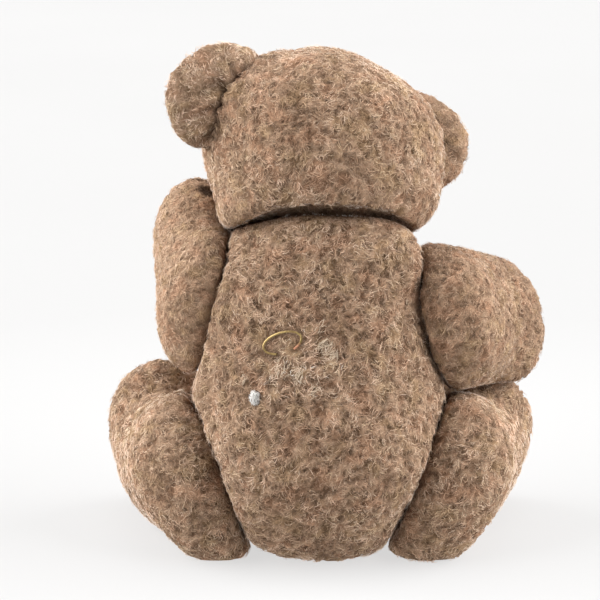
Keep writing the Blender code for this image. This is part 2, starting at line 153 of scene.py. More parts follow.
# Where the stuffing stands fuller than the solid, or less full: the middle, as three shares of
# the node's box, and the radius and height in millimetres.
BULGES = {
    "torso": (
        (0.87, 0.7, 0.97, 13, -5),
        (0.02, 0.62, 0.86, 9, 4),
        (0.95, 0.6, 0.72, 12, 3),
        (0.08, 0.7, 0.75, 11, -3),
        (0.09, 0.7, 0.95, 13, 6.5),
        (0, 0.55, 0.5, 13, 2),
        (1, 0.55, 0.51, 13, 1.5),
        (0.77, 0.78, 0.02, 10, 4),
        (0.22, 0.78, 0.02, 10, 4.5),
    ),
    "head": (
        (0.97, 0.6, 0.55, 13, 3),
        (0.92, 0.62, 0.77, 12, 5),
        (0.8, 0.5, 0.97, 9, 3),
        (0.27, 0.5, 0.96, 15, -2),
        (0.06, 0.6, 0.27, 14, 2.5),
        (0.85, 0.75, 0.22, 11, 3.5),
    ),
    "ear_left": (
        (0.95, 0.5, 0.25, 11, 3),
        (0.1, 0.5, 0.97, 8, 2),
        (0.8, 0.5, 0.97, 9, -1.5),
    ),
    "ear_right": (
        (0.1, 0.5, 0.6, 15, 1.5),
    ),
    "arm_left": (
        (0, 0.85, 0.8, 13, 7),
        (1, 0.5, 0.45, 24, -1.5),
        (0.75, 0.5, 0.02, 11, -5),
        (0.25, 0.8, 0.08, 10, 5),
    ),
    "arm_right": (
        (0.95, 0.65, 0.75, 13, 6),
        (1, 0.7, 0.8, 9, 4.5),
        (0.72, 0.6, 1, 9, -1.5),
        (0.9, 0.8, 0.12, 14, 8),
        (0.1, 0.6, 0.2, 12, -3.5),
    ),
    "leg_right": (
        (0.66, 0.68, 0.97, 15, 7),
        (0.98, 0.8, 0.1, 14, 7),
        (0.12, 0.6, 0.3, 17, -3),
        (0.3, 0.75, 0.02, 13, -4.5),
    ),
    "leg_left": (
        (0.34, 0.68, 0.97, 15, 7),
        (0.82, 0.12, 0.86, 8, 6.5),
        (0.6, 0.25, 1, 10, 2.5),
        (0.02, 0.8, 0.1, 14, 7),
        (0.62, 0.75, 0.02, 16, -4.5),
    ),
}

# The share of the way to another piece that a bulge may take up, and the share of the way to
# the piece's own trim, less a gap.
BULGE_REACH = 12 * MM
BULGE_ROOM = 0.9
BULGE_TRIM_ROOM = 0.8
BULGE_TRIM_GAP = 1 * MM

# Threadbare places, which are pale, and soiled ones, which are dark, along the edge of the left
# paw's pad: the middle, as shares of the node's box, the radius and the change of tone.
WEAR = (
    ("torso", (0.55, 0.84, 0.6), 12 * MM, 0.4),
    ("torso", (0.25, 0.72, 0.05), 4 * MM, 0.7),
    ("arm_left", (0.36, 0.42, 0.96), 2.2 * MM, -0.9),
    ("arm_left", (0.3, 0.44, 0.94), 2.6 * MM, -0.9),
)
SOILED_LIGHT = 0.1

# Folds that fan out over the backs of the ears, as their closeness and height. They wander,
# are shaded in their valleys and fade towards the rim, which is this far from the ear's root.
EAR_FOLDS = {"ear_left": (11, 0.8 * MM), "ear_right": (9, 1.2 * MM)}
EAR_ROOT = 14 * MM
EAR_RIM = 27 * MM
EAR_RIM_FADE = 8 * MM
EAR_RIM_SHARE = 0.15
FOLD_WANDER = 0.5
FOLD_WANDER_SIZE = 9 * MM
FOLD_SHADE = 0.6

# The dip across each instep, as a share of the foot's way from heel to sole.
INSTEP_PLACE = 0.62
INSTEP_REACH = 9 * MM
INSTEP_DIP = 4.5 * MM

# The wool: two layers of strands, each of a number of segments. Density is strands per square
# millimetre, length and width are millimetres, and lift is degrees off the skin. The roots are
# this many millimetres below the skin.
ROOT_DEPTH = 0.15
LAYERS = table(
    ("steps", "density", "length", "width", "lift", "curl", "tone"),
    {
        "underwool": (2, 0.84, 2.2, 0.22, 22, 1.8, -0.1),
        "wool": (3, 0.66, 3.2, 0.15, 26, 3.0, 0.1),
    },
)

# How the strands vary: the odds that one grows in a pit and how much likelier it is on a tuft,
# the range of their lengths, lifts and widths, the few that stand up more, and how much they
# curl alike in patches and each in its own way.
PIT_ODDS = 0.3
TUFT_ODDS = 0.9
LENGTH_RANGE = (0.55, 1.4)
LIFT_RANGE = (0.4, 1.6)
WIDTH_RANGE = (0.7, 1.3)
STRAY_ODDS = 0.04
STRAY_LIFT = 1.3
CURL_PATCH = 4 * MM
CURL_ALIKE = 2.0
CURL_SPREAD = 0.7

# Which way they lie: the size of large and small swirls and the share of the small ones, how
# much more they are combed on the front and back and on an ear, and their spread in radians.
SWIRL_SIZE = 8 * MM
SMALL_SWIRL_SIZE = 3 * MM
SMALL_SWIRL_SHARE = 0.6
SIDE_COMB = 1.1
EAR_COMB = 0.5
COMB_SPREAD = 0.45

# Where other pieces press on the pile, it is combed out of the crease, shorter and steeper. It
# is shorter near trim as well, down to half the length beside it.
PRESS_REACH = 3.5 * MM
PRESS_COMB = 2
PRESS_SHORTENING = 0.35
PRESS_LIFT = 0.6
TRIM_SHORT_REACH = 2 * MM

# Nothing grows this near another piece, this near trim, or this near the floor where the skin
# faces down, and no strand comes nearer to trim or floor than the last two.
CLEAR_OF_OTHERS = 0.5 * MM
CLEAR_OF_TRIM = 0.8 * MM
CLEAR_OF_FLOOR = 0.8 * MM
FACING_DOWN = -0.5
STRAND_CLEAR_OF_TRIM = 0.6 * MM
STRAND_CLEAR_OF_FLOOR = 0.1 * MM

# Patches of paler and darker wool, and of rust and straw; how much single strands differ from
# them; how high the pile is where its tone is its own, with strands painted darker below it as
# shade in the pits and paler above it; and the bare strands in worn places.
TONE_PATCH = 16 * MM
TONE_PATCH_SHARE = 0.35
TONE_SPREAD = 0.1
HUE_PATCH = 6 * MM
HUE_FLECK = 2.4 * MM
HUE_SPREAD = 0.12
MIDDLE_PILE = 0.55
BARE_ODDS = 0.3
BARE_TONE = 0.8

# A strand's shape and shading: how much its end tapers and its ridge stands proud, how much of
# the skin's relief and of its own ridge its normals follow, and how round it is shaded.
STRAND_TAPER = 0.7
RIDGE_HEIGHT = 0.6
FINE_SHADING = 0.35
STRAND_OWN_NORMAL = 0.1
STRAND_ROUNDNESS = 0.5

# Loose threads: their segments, their lifts in radians, the spread of their bends, and how many
# millimetres off the skin they start.
THREAD_STEPS = 4
THREAD_LIFTS = (0.1, 0.6)
THREAD_BENDS = 1.2
THREAD_START = 0.2

# The frayed ends of the white tuft: their density, in threads per square millimetre, their width,
# the share that hangs down, the spread of their directions and their lengths in millimetres.
TUFT_DENSITY = 7
TUFT_WIDTH = 0.16 * MM
TUFT_HANGING = 0.6
TUFT_SPREAD = 0.4
TUFT_LENGTHS = (0.8, 2.4)

# The wisps in the same way; their edges and lengths are shares of each wisp's own.
WISP_DENSITY = 1.6
WISP_WIDTH = 0.17 * MM
WISP_SPREAD = 0.35
WISP_EDGES = (0.3, 1)
WISP_LENGTHS = (0.5, 1.3)

# Pale wisps on the torso's back: the middle, as shares of its box across and up, the radius,
# the slant from upright towards the bear's left, and the length of the fibres.
WISPS = (
    (0.5, 0.7, 2.2 * MM, -0.7, 3 * MM),
    (0.46, 0.665, 2.6 * MM, 2.5, 4.5 * MM),
    (0.44, 0.64, 2.0 * MM, 2.5, 4 * MM),
    (0.525, 0.54, 2.4 * MM, -1.0, 3 * MM),
    (0.575, 0.585, 3.2 * MM, 2.6, 3 * MM),
    (0.645, 0.605, 3.5 * MM, 3.0, 3 * MM),
    (0.79, 0.57, 1.8 * MM, 3.0, 3 * MM),
)

# The stuffed pieces: their wool's length as a share of the layers', how strongly it is combed
# down or out, how strongly its tones differ, and how pale it is.
PLUSH_PIECES = table(
    ("length", "comb", "contrast", "tone"),
    {
        "torso": (1.0, 0.3, 0.9, -0.06),
        "head": (0.95, 0.3, 0.75, -0.08),
        "ear_left": (0.85, 0.4, 0.8, 0.5),
        "ear_right": (0.85, 0.4, 0.8, -0.2),
        "arm_left": (0.85, 0.5, 0.6, -0.2),
        "arm_right": (0.9, 0.3, 0.75, -0.3),
        "leg_left": (0.95, 0.4, 0.85, 0.0),
        "leg_right": (0.95, 0.4, 0.85, 0.0),
    },
)
TRIM_SLOTS = ("pad_cloth", "boot_button", "dark_thread", "white_thread", "brass")

# Colours of the wool: the strands from dark to pale, their bare tips and roots, the painted shade
# of creases, folds and trim edges, which soiled places share, the skin's painted pit shade up to its
# pale tufts, its matted fibres from dark to pale, and the tints of rust, straw and sheen.
WOOL_SHADES = ((0.26, 0.147, 0.085), (0.67, 0.452, 0.302), (0.92, 0.7, 0.53))
WOOL_BARE = (0.93, 0.86, 0.76)
WOOL_ROOT = (0.22, 0.134, 0.085)
WOOL_SHADE_AND_SOIL = (0.065, 0.033, 0.015)
SKIN_PIT_SHADES = ((0.12, 0.068, 0.04), (0.47, 0.302, 0.195))
SKIN_FIBRES = ((0.46, 0.295, 0.19), (0.65, 0.46, 0.325))
SKIN_SHADE_AND_SOIL = (0.03, 0.017, 0.011)
RUST_TINT = (1.05, 0.96, 0.92)
STRAW_TINT = (1.0, 1.0, 0.91)
SHEEN_TINT = (1.0, 0.93, 0.86)
LOOSE_WOOL = (0.88, 0.7, 0.52)

# Colours of the rest, from clean or dark to worn or pale.
PAD_COAT = ((0.03, 0.019, 0.014), (0.06, 0.043, 0.033))
PAD_RUBBED = (0.2, 0.17, 0.145)
PAD_CRACK = (0.24, 0.18, 0.13)
DARK_THREAD = ((0.016, 0.011, 0.009), (0.06, 0.043, 0.033))
WHITE_THREAD = ((0.5, 0.48, 0.44), (0.85, 0.84, 0.8))
WHITE_FIBRE = (0.98, 0.96, 0.93)
LACQUER = ((0.008, 0.006, 0.006), (0.045, 0.04, 0.036))
BRASS = ((0.4, 0.285, 0.115), (0.24, 0.155, 0.062))
COPPERY = (0.62, 0.3, 0.18)
STEEL = ((0.55, 0.54, 0.52), (0.3, 0.27, 0.24))
HARDBOARD = ((0.19, 0.11, 0.055), (0.38, 0.25, 0.14))
SHEET = ((0.2, 0.198, 0.196), (0.21, 0.208, 0.206))

# The camera, from the middle of the bear's box.
CAMERA_AIM = Vector((9.2, 9.5, 0)) * MM
CAMERA_ELEVATION = math.radians(14)
CAMERA_DISTANCE = 0.7
CAMERA_LENS = 120

# The light: suns by the direction they come from, their softness in degrees and their strength,
# a tent that is bright all round and dim on the camera's side, and a painted glow in the floor,
# which falls off from near the bear to far and lightens the shadows on it.
SUNS = {
    "left": ((1.0, 0.0, 0.45), 72, 4.9),
    "right": ((-1.0, 0.0, 0.45), 72, 4.9),
    "above": ((0.0, -0.2, 1.0), 60, 1.0),
}
TENT_BRIGHT = 0.45
TENT_DIM = 0.07
FLOOR_RADIUS = 12
FLOOR_SIDES = 64
FLOOR_GLOW = 0.64
FLOOR_FADE = 0.09
FLOOR_FADE_NEAR = 0.05
FLOOR_FADE_FAR = 0.35

bodies = frame["record"]["behaviour"]["bodies"]
body_of = {node: body for body, nodes in bodies.items() for node in nodes}
slot_of = {part["node"]: part["material_slot"] for part in frame["record"]["subparts"]}


# ---------------------------------------------------------------- arrays and meshes


def vertex_array(mesh, what="co"):
    """The places or the normals of a mesh's vertices."""
    found = np.empty(len(mesh.vertices) * 3)
    if what == "co":
        mesh.vertices.foreach_get("co", found)
    else:
        mesh.vertex_normals.foreach_get("vector", found)
    return found.reshape(-1, 3)


def triangle_array(mesh):
    """The three vertices of each of a mesh's triangles."""
    mesh.calc_loop_triangles()
    found = np.empty(len(mesh.loop_triangles) * 3, dtype=np.int32)
    mesh.loop_triangles.foreach_get("vertices", found)
    return found.reshape(-1, 3)


def field(points, size, seed):
    """Smooth noise from about -0.7 to 0.7 at each point, with features of this size."""
    places = points / size + seed * SEED_SPACING
    return np.array([noise.noise(place) for place in places.tolist()])


def vector_field(points, size, seed):
    """Three smooth noises at each point, each with a seed of its own."""
    return np.stack([field(points, size, seed + PART_SEEDS * part) for part in range(3)], 1)


def unit(vectors):
    """The vectors at length 1."""
    return vectors / np.maximum(np.linalg.norm(vectors, axis=-1, keepdims=True), 1e-12)


def across(vectors, normals):
    """The part of each vector that lies along the surface, as a unit vector."""
    return unit(vectors - normals * (vectors * normals).sum(-1, keepdims=True))


def tree_of(meshes):
    """One search tree over the triangles of several meshes."""
    points, triangles, count = [], [], 0
    for mesh in meshes:
        points += vertex_array(mesh).tolist()
        triangles += (triangle_array(mesh) + count).tolist()
        count += len(mesh.vertices)
    return BVHTree.FromPolygons(points, triangles)


def distances(tree, points, reach):
    """How far each point is from the tree's surface, up to reach."""
    found = [tree.find_nearest(Vector(point), reach)[3] for point in points.tolist()]
    return np.array([reach if distance is None else distance for distance in found])


def add_piece(name, mesh, material, body):
    """A named object of this mesh that rides on a body."""
    mesh.materials.clear()
    mesh.materials.append(material)
    obj = bpy.data.objects.new(name, mesh)
    bpy.context.scene.collection.objects.link(obj)
    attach(obj, body)
    return obj


def node_middle(node):
    """The middle of a node's box."""
    low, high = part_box(node)
    return np.array((low + high) / 2)


def from_place(node, shares, points):
    """How far each point is from the place at these shares of a node's box."""
    low, high = (np.array(corner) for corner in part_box(node))
    return np.linalg.norm(points - (low + (high - low) * np.array(shares)), axis=1)


def move_vertices(mesh, points):
    """Puts a mesh's vertices at these points."""
    mesh.vertices.foreach_set("co", points.ravel())
    mesh.update()


def add_attribute(mesh, name, colours):
    """Keeps four values for each vertex, for the materials to read."""
    mesh.attributes.new(name, "FLOAT_COLOR", "POINT").data.foreach_set("color", colours.ravel())


# ---------------------------------------------------------------- materials


class Nodes:
    """A short way to write a material's node tree."""

    def __init__(self, name, viewport_colour):
        self.material = bpy.data.materials.new(name)
        self.material.use_nodes = True
        self.material.diffuse_color = (*viewport_colour, 1)
        self.tree = self.material.node_tree
        self.shader = self.tree.nodes["Principled BSDF"]

    def add(self, kind, settings=None, **inputs):
        """A node of this kind; each input is a value or another node's output."""
        node = self.tree.nodes.new(kind)
        for key, value in (settings or {}).items():
            setattr(node, key, value)
        for key, value in inputs.items():
            self.link(node.inputs[key.replace("_", " ")], value)
        return node

    def link(self, socket, value):
        if isinstance(value, bpy.types.NodeSocket):
            self.tree.links.new(value, socket)
        else:
            socket.default_value = value

    def math(self, operation, a, b=0.0):
        """Arithmetic on one value or two."""
        node = self.tree.nodes.new("ShaderNodeMath")
        node.operation = operation
        self.link(node.inputs[0], a)
        self.link(node.inputs[1], b)
        return node.outputs[0]

    def place(self):
        """The place on the object, in metres."""
        return self.add("ShaderNodeTexCoord").outputs["Object"]

    def parts(self, attribute):
        """The red, green, blue and alpha of a colour attribute."""
        node = self.add("ShaderNodeAttribute", {"attribute_name": attribute})
        split = self.add("ShaderNodeSeparateColor", Color=node.outputs["Color"])
        return *split.outputs[:3], node.outputs["Alpha"]

    def noise(self, size, detail=2.0, rough=0.5, warp=0.0, vector=None):
        """Noise with features of this size in metres."""
        node = self.add("ShaderNodeTexNoise", Scale=1 / size, Detail=detail, Roughness=rough)
        self.link(node.inputs["Distortion"], warp)
        self.link(node.inputs["Vector"], vector or self.place())
        return node.outputs["Fac"]

    def ramp(self, value, low, high):
        """value from low to high, mapped from 0 to 1."""
        node = self.add("ShaderNodeMapRange", Value=value)
        node.inputs["From Min"].default_value = low
        node.inputs["From Max"].default_value = high
        return node.outputs["Result"]

    def mix(self, factor, a, b, blend="MIX"):
        """The colour a where the factor is 0 and b where it is 1."""
        node = self.tree.nodes.new("ShaderNodeMix")
        node.data_type = "RGBA"
        node.blend_type = blend
        self.link(node.inputs["Factor"], factor)
        self.link(node.inputs["A"], a if isinstance(a, bpy.types.NodeSocket) else (*a, 1))
        self.link(node.inputs["B"], b if isinstance(b, bpy.types.NodeSocket) else (*b, 1))
        return node.outputs["Result"]

    def bump(self, height, distance):
        """Roughens the surface by a height from 0 to 1."""
        node = self.add("ShaderNodeBump", Strength=1.0, Distance=distance, Height=height)
        self.link(self.shader.inputs["Normal"], node.outputs["Normal"])

    def set(self, **inputs):
        """Sets inputs of the shader, to values or to what other nodes put out."""
        for key, value in inputs.items():
            if isinstance(value, tuple) and len(value) == 3:
                value = (*value, 1)
            self.link(self.shader.inputs[key.replace("_", " ")], value)


def curly_lines(nodes, size, seed):
    """Thin wandering lines, 1 along each line's middle and 0 between them."""
    shifted = nodes.add("ShaderNodeVectorMath", {"operation": "ADD"})
    nodes.link(shifted.inputs[0], nodes.place())
    shifted.inputs[1].default_value = (seed, seed * 2, seed * 3)
    value = nodes.noise(size, 1.0, 0.5, 0.6, shifted.outputs[0])
    ridge = nodes.math("ABSOLUTE", nodes.math("SUBTRACT", value, 0.5))
    return nodes.math("SUBTRACT", 1.0, nodes.ramp(ridge, 0.0, 0.07))


def wool_skin_material():
    """The matted roots of the pile: painted shade in its pits and creases, darker too where soiled,
    with paler fibres over them.
    """
    nodes = Nodes("wool_roots", (0.3, 0.2, 0.14))
    height, openness, hue, _ = nodes.parts("pile")
    lines = nodes.math("MAXIMUM", curly_lines(nodes, 2.2 * MM, 1), curly_lines(nodes, 1.4 * MM, 2))
    # Painted shade in the pits of the pile, paler up on its tufts.
    pit_shaded = nodes.mix(height, *SKIN_PIT_SHADES)
    fibres = nodes.mix(nodes.ramp(nodes.noise(3 * MM), 0.35, 0.65), *SKIN_FIBRES)
    matted = nodes.mix(nodes.math("MULTIPLY", lines, 0.6), pit_shaded, fibres)
    tinted = tinted_wool(nodes, matted, hue)
    # Painted shade where the pile is less open to light: in creases, fold valleys and beside trim;
    # soiled places darken with it.
    shaded_and_soiled = nodes.mix(openness, SKIN_SHADE_AND_SOIL, tinted)
    nodes.set(Base_Color=shaded_and_soiled, Roughness=1.0, Specular_IOR_Level=0.1)
    nodes.bump(lines, 0.3 * MM)
    return nodes.material


def tinted_wool(nodes, colour, hue):
    """Leans a wool colour towards rust where hue is high, and towards straw where low."""
    rusty = nodes.mix(nodes.ramp(hue, 0.6, 0.95), colour, RUST_TINT, "MULTIPLY")
    return nodes.mix(nodes.ramp(hue, 0.4, 0.05), rusty, STRAW_TINT, "MULTIPLY")


def wool_material():
    """The curled pile itself, which varies from strand to strand and pales to its tip, with painted
    shade in its creases, folds and pits.
    """
    nodes = Nodes("wool_pile", (0.42, 0.3, 0.21))
    tone, along, hue, openness = nodes.parts("fibre")
    dark, middle, pale = WOOL_SHADES
    dark_to_middle = nodes.mix(nodes.ramp(tone, 0.0, 0.5), dark, middle)
    shade = nodes.mix(nodes.ramp(tone, 0.5, 1.0), dark_to_middle, pale)
    bare = nodes.mix(nodes.ramp(tone, 1.0, 1.5), shade, WOOL_BARE)
    tinted = tinted_wool(nodes, bare, hue)
    # Towards its root each strand is painted darker: partly painted shade within the pile, partly the
    # pale tips of worn mohair.
    rooted = nodes.mix(nodes.ramp(along, -0.2, 0.5), WOOL_ROOT, tinted)
    # Painted shade where the pile is less open to light: in creases, fold valleys and beside trim;
    # soiled places darken with it.
    nodes.set(Base_Color=nodes.mix(openness, WOOL_SHADE_AND_SOIL, rooted))
    nodes.set(Roughness=0.85, Specular_IOR_Level=0.2)
    nodes.set(Sheen_Weight=1.0, Sheen_Roughness=0.4, Sheen_Tint=SHEEN_TINT)
    return nodes.material


def thread_fibre_material(name, colour):
    """A loose strand of this colour, a little darker at its root."""
    nodes = Nodes(name, colour)
    along = nodes.parts("fibre")[1]
    root = tuple(0.8 * channel for channel in colour)
    nodes.set(Base_Color=nodes.mix(along, root, colour), Roughness=0.85, Specular_IOR_Level=0.2)
    return nodes.material


def pad_material():
    """Dark coated cloth, crazed all over and rubbed grey where it stands proud."""
    nodes = Nodes("crazed_pad_cloth", (0.04, 0.03, 0.024))
    cracks = nodes.add("ShaderNodeTexVoronoi", {"feature": "DISTANCE_TO_EDGE"}, Scale=1 / (3.2 * MM))
    warped = nodes.add("ShaderNodeVectorMath", {"operation": "ADD"})
    nodes.link(warped.inputs[0], nodes.place())
    wobble = nodes.add("ShaderNodeVectorMath", {"operation": "SCALE"}, Scale=2 * MM)
    nodes.link(wobble.inputs[0], nodes.add("ShaderNodeTexNoise", Scale=1 / (5 * MM)).outputs["Color"])
    nodes.link(warped.inputs[1], wobble.outputs[0])
    nodes.link(cracks.inputs["Vector"], warped.outputs[0])
    crack = nodes.ramp(cracks.outputs["Distance"], 0.0, 0.07)
    worn = nodes.ramp(nodes.noise(6 * MM, 4, 0.6), 0.52, 0.68)
    coat = nodes.mix(nodes.ramp(nodes.noise(2.5 * MM, 3), 0.3, 0.7), *PAD_COAT)
    rubbed = nodes.mix(worn, coat, PAD_RUBBED)
    nodes.set(Base_Color=nodes.mix(crack, PAD_CRACK, rubbed))
    nodes.set(Roughness=nodes.math("ADD", 0.5, nodes.math("MULTIPLY", worn, 0.35)))
    weave = nodes.noise(0.5 * MM, 1)
    height = nodes.math("ADD", crack, nodes.math("MULTIPLY", weave, 0.25))
    nodes.bump(height, 0.2 * MM)
    return nodes.material


def thread_material(name, dark, light, twist):
    """Spun thread: slanting plies of this size, a little uneven in colour."""
    nodes = Nodes(name, light)
    plies = nodes.add("ShaderNodeTexWave", {"bands_direction": "DIAGONAL"}, Scale=1 / twist)
    nodes.link(plies.inputs["Distortion"], 1.5)
    nodes.link(plies.inputs["Vector"], nodes.place())
    fuzz = nodes.noise(0.4 * MM, 3)
    shade = nodes.math("MULTIPLY", plies.outputs["Fac"], nodes.ramp(fuzz, 0.2, 0.8))
    nodes.set(Base_Color=nodes.mix(shade, dark, light), Roughness=0.85, Specular_IOR_Level=0.2)
    nodes.bump(shade, 0.15 * MM)
    return nodes.material


def button_material():
    """Black lacquer with fine scuffs."""
    nodes = Nodes("lacquered_button", (0.01, 0.009, 0.009))
    scuffs = nodes.ramp(nodes.noise(0.7 * MM, 4, 0.7, 1.5), 0.58, 0.75)
    nodes.set(Base_Color=nodes.mix(scuffs, *LACQUER))
    nodes.set(Roughness=nodes.math("ADD", 0.16, nodes.math("MULTIPLY", scuffs, 0.4)))
    nodes.set(Coat_Weight=0.4, Coat_Roughness=0.1)
    nodes.bump(nodes.noise(3 * MM, 2), 0.05 * MM)
    return nodes.material


def steel_material():
    """Bare steel with dull patches."""
    nodes = Nodes("dull_steel", STEEL[0])
    patches = nodes.ramp(nodes.noise(3 * MM, 3, 0.6), 0.35, 0.7)
    nodes.set(Base_Color=nodes.mix(patches, *STEEL), Metallic=1.0)
    nodes.set(Roughness=nodes.math("ADD", 0.4, nodes.math("MULTIPLY", patches, 0.25)))
    nodes.bump(nodes.noise(0.6 * MM, 2), 0.02 * MM)
    return nodes.material


def wire_material():
    """Yellow brass wire, tarnished in patches and coppery at its right-hand cut end."""
    low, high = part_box("wire_loop")
    cut_end = Vector((low.x + 0.12 * (high.x - low.x), high.y, low.z + 0.3 * (high.z - low.z)))
    nodes = Nodes("brass_wire", (0.78, 0.56, 0.2))
    patches = nodes.ramp(nodes.noise(4 * MM, 3, 0.6), 0.4, 0.75)
    brass = nodes.mix(patches, *BRASS)
    away = nodes.add("ShaderNodeVectorMath", {"operation": "DISTANCE"})
    nodes.link(away.inputs[0], nodes.place())
    away.inputs[1].default_value = cut_end
    by_cut = nodes.ramp(away.outputs["Value"], 3 * MM, 1.5 * MM)
    nodes.set(Base_Color=nodes.mix(by_cut, brass, COPPERY))
    nodes.set(Metallic=0.7, Roughness=nodes.math("ADD", 0.3, nodes.math("MULTIPLY", patches, 0.3)))
    return nodes.material


def hardboard_material():
    """Pressed brown board with short fibres."""
    nodes = Nodes("pressed_hardboard", (0.3, 0.19, 0.1))
    fibres = nodes.noise(0.8 * MM, 4, 0.7, 1.0)
    nodes.set(Base_Color=nodes.mix(nodes.ramp(fibres, 0.3, 0.7), *HARDBOARD))
    nodes.set(Roughness=0.85)
    nodes.bump(fibres, 0.1 * MM)
    return nodes.material


def floor_material():
    """A pale sheet that glows with painted light, a little brighter close around the bear."""
    nodes = Nodes("pale_floor", (0.9, 0.9, 0.9))
    reach = nodes.add("ShaderNodeVectorMath", {"operation": "LENGTH"})
    nodes.link(reach.inputs[0], nodes.place())
    away = nodes.ramp(reach.outputs["Value"], FLOOR_FADE_NEAR, FLOOR_FADE_FAR)
    glow = nodes.math("SUBTRACT", FLOOR_GLOW, nodes.math("MULTIPLY", away, FLOOR_FADE))
    grain = nodes.ramp(nodes.noise(0.4, 2), 0.2, 0.8)
    nodes.set(Base_Color=nodes.mix(grain, *SHEET), Roughness=0.9, Specular_IOR_Level=0.0)
    # The floor glows with painted light, brighter near the bear.
    nodes.set(Emission_Color=(1, 1, 1), Emission_Strength=glow)
    return nodes.material


# ---------------------------------------------------------------- plush skins


def joints_on(body):
    """The place, axis, disc radius and name of each joint on a body."""
    found = []
    for joint in frame["joints"]:
        if body in (joint["parent"], joint["child"]):
            place, axis = Vector(joint["pos_m"]), Vector(joint["axis"]).normalized()
            low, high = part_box(joint["name"] + "_limb_disc")
            found.append((place, axis, max(high - low) / 2, joint["name"]))
    return found


def in_bore(face, place, axis):
    """Whether a face is of the wall of the bore for the pin of this joint."""
    offsets = [vert.co - place for vert in face.verts]
    return all(o.cross(axis).length < BORE_REACH and abs(o.dot(axis)) < BORE_DEPTH for o in offsets)


def joined_faces(start):
    """The faces that can be reached from these ones over shared edges, and these."""
    reached = set(start)
    waiting = list(reached)
    while waiting:
        for edge in waiting.pop().edges:
            fresh = [face for face in edge.link_faces if face not in reached]
            reached.update(fresh)
            waiting += fresh
    return reached


def outer_surface(mesh, body):
    """A closed bmesh of a solid's outside, cut off from the hollows around its joint discs."""
    bm = bmesh.new()
    bm.from_mesh(mesh)
    bmesh.ops.remove_doubles(bm, verts=bm.verts, dist=WELD_REACH)
    pins = [joint[:2] for joint in joints_on(body)]
    bores = [face for face in bm.faces if any(in_bore(face, *pin) for pin in pins)]
    bmesh.ops.delete(bm, geom=bores, context="FACES")
    top = max((vert for vert in bm.verts if vert.link_faces), key=lambda vert: vert.co.z)
    outside = joined_faces(top.link_faces)
    bmesh.ops.delete(bm, geom=[face for face in bm.faces if face not in outside], context="FACES")
    bmesh.ops.delete(bm, geom=[vert for vert in bm.verts if not vert.link_faces], context="VERTS")
    bmesh.ops.holes_fill(bm, edges=[edge for edge in bm.edges if edge.is_boundary], sides=0)
    bmesh.ops.triangulate(bm, faces=bm.faces)
    return bm


def fine_skin(node):
    """An evenly divided, softened copy of a stuffed solid's outside."""
    bm = outer_surface(frame["nodes"][node].data, body_of[node])
    mesh = bpy.data.meshes.new(node + "_rough")
    bm.to_mesh(mesh)
    bm.free()
    obj = bpy.data.objects.new(node + "_rough", mesh)
    bpy.context.scene.collection.objects.link(obj)
    remesh = obj.modifiers.new("even", "REMESH")
    remesh.mode = "VOXEL"
    remesh.voxel_size = SKIN_VOXEL
    soften = obj.modifiers.new("soften", "SMOOTH")
    soften.factor = SKIN_SOFTENING
    soften.iterations = SKIN_SMOOTHING
    evaluated = obj.evaluated_get(bpy.context.evaluated_depsgraph_get())
    made = bpy.data.meshes.new_from_object(evaluated)
    bpy.data.objects.remove(obj)
    made.name = node + "_plush"
    return made


def woolly_height(points):
    """How high the matted pile stands, from 0 in its pits to 1 on its tufts."""
    share = WOOLLY_SHARES
    clumps = share["clumps"] * (0.5 + 0.8 * field(points, CLUMP_SIZE, 1))
    curls = share["curls"] * (1 - 2.4 * np.abs(field(points, CURL_SIZE, 2)))
    pits = share["pits"] * np.clip(2.4 * field(points, PIT_SIZE, 3) - 0.3, 0, 1)
    crumbs = share["crumbs"] * field(points, CRUMB_SIZE, 12)
    return np.clip(clumps + curls + crumbs - pits, 0, 1)


def beside_discs(points, body):
    """How far cloth may be drawn in: its share past each disc's rim, its depth and reach, and
    the least light in a crease there."""
    share = np.ones(len(points))
    depths = np.full(len(points), CREASE_DEPTH["limb"])
    reaches = np.full(len(points), CREASE_REACH)
    least_light = np.full(len(points), CREASE_LIGHT)
    neck_depth = CREASE_DEPTH["torso" if body == "torso" else "head"]
    for place, axis, radius, name in joints_on(body):
        offsets = points - np.array(place)
        along = offsets @ np.array(axis)
        from_axis = np.linalg.norm(offsets - along[:, None] * np.array(axis), axis=1)
        near = np.abs(along) < CREASE_REACH
        past_rim = np.clip((from_axis - radius) / CREASE_REACH, 0, 1)
        share = np.where(near, np.minimum(share, past_rim), share)
        if name == "neck":
            round_neck = (np.abs(along) < NECK_REACH) & (from_axis < NECK_SPREAD * radius)
            nape = np.clip(offsets[:, 1] / np.maximum(from_axis, MM), 0, 1) ** NAPE_POWER
            neck_share = NECK_FRONT_SHARE + (1 - NECK_FRONT_SHARE) * nape
            depths = np.where(round_neck, neck_depth * neck_share, depths)
            reaches = np.where(round_neck, NECK_REACH, reaches)
            least_light = np.where(round_neck, CREASE_LIGHT * (1 - nape), least_light)
    return share, depths, reaches, least_light


def draw_in(node, mesh, others):
    """Draws the skin in where other pieces press on it, so that they meet in a crease."""
    points = vertex_array(mesh)
    normals = vertex_array(mesh, "normal")
    share, depths, reaches, _ = beside_discs(points, body_of[node])
    if node.startswith("ear"):
        depths = np.full(len(points), CREASE_DEPTH["ear"])
    room = distances(others, points, NECK_REACH)
    drawn = depths * share * np.clip(1 - room / reaches, 0, 1) ** CREASE_SHARPNESS
    move_vertices(mesh, points - normals * drawn[:, None])


def fan_angles(node, points):
    """Each point's angle around the root of an ear, seen square on to the ear, and the root."""
    centre = node_middle(node)
    outward = unit(centre - node_middle("head"))
    spread = points - points.mean(0)
    flat = np.linalg.svd(spread, full_matrices=False)[2][2]
    outward = unit(outward - flat * (outward @ flat))
    aside = np.cross(flat, outward)
    root = centre - outward * EAR_ROOT
    return np.arctan2((points - root) @ aside, (points - root) @ outward), root


